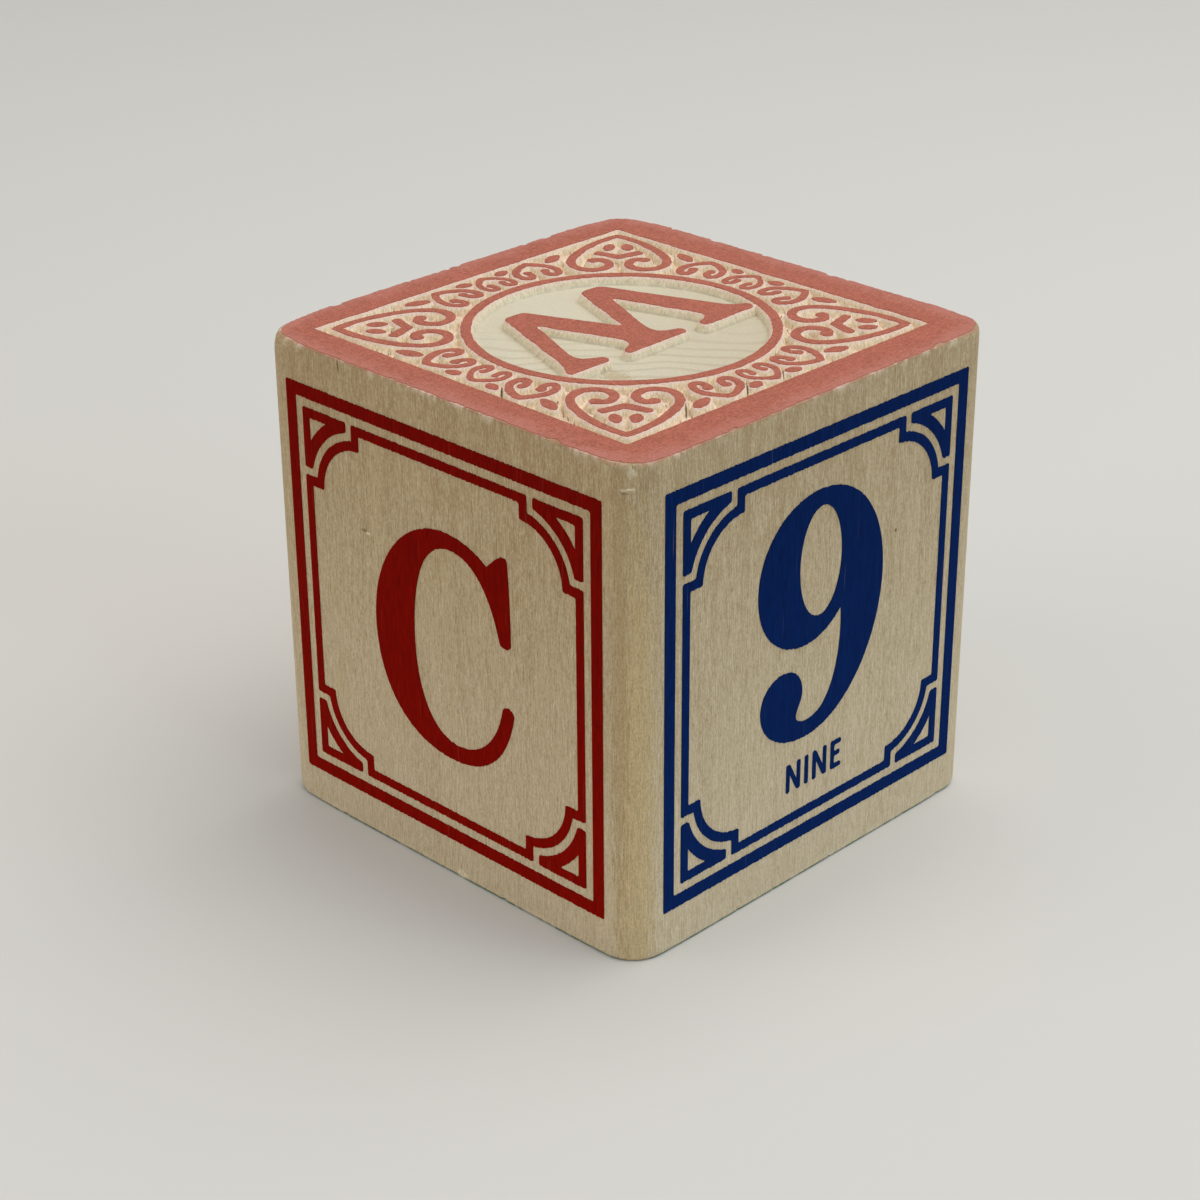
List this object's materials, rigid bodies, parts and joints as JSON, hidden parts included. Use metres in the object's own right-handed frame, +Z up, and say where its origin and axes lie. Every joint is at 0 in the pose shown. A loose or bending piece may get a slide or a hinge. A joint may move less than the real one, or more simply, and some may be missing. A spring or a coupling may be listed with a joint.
{
  "type": "alphabet block",
  "caption": "Wooden cube toy block with a framed printed character on each side and pressed, inked scroll relief round a raised letter on both ends.",
  "frame": {"origin": "middle of the underside, on the surface that the block stands on", "axes": "+Z up towards the pressed top, -Y out of the side with the C, +X out of the side with the 9"},
  "size_m": [0.0446, 0.0446, 0.0446],
  "materials": {
    "wood": "bare sanded basswood",
    "red_ink": "matt print",
    "blue_ink": "matt print",
    "green_ink": "matt print",
    "salmon_ink": "matt print"
  },
  "bodies": {
    "root": {"wood_block": "wood", "front_outer_rule": "red_ink", "front_inner_rule": "red_ink", "front_corner_brackets": "red_ink", "front_letter_c": "red_ink", "right_outer_rule": "blue_ink", "right_inner_rule": "blue_ink", "right_corner_brackets": "blue_ink", "right_numeral_9": "blue_ink", "back_outer_rule": "green_ink", "back_inner_rule": "green_ink", "back_corner_brackets": "green_ink", "back_letter_o": "green_ink", "left_outer_rule": "red_ink", "left_inner_rule": "red_ink", "left_corner_brackets": "red_ink", "left_numeral_6": "red_ink", "top_border": "salmon_ink", "top_ring": "salmon_ink", "top_letter_w": "salmon_ink", "top_corner_hearts": "salmon_ink", "top_side_hearts": "salmon_ink", "top_leaves": "salmon_ink", "bottom_border": "green_ink", "bottom_ring": "green_ink", "bottom_letter_w": "green_ink", "bottom_corner_hearts": "green_ink", "bottom_side_hearts": "green_ink", "bottom_leaves": "green_ink"}
  },
  "joints": []
}
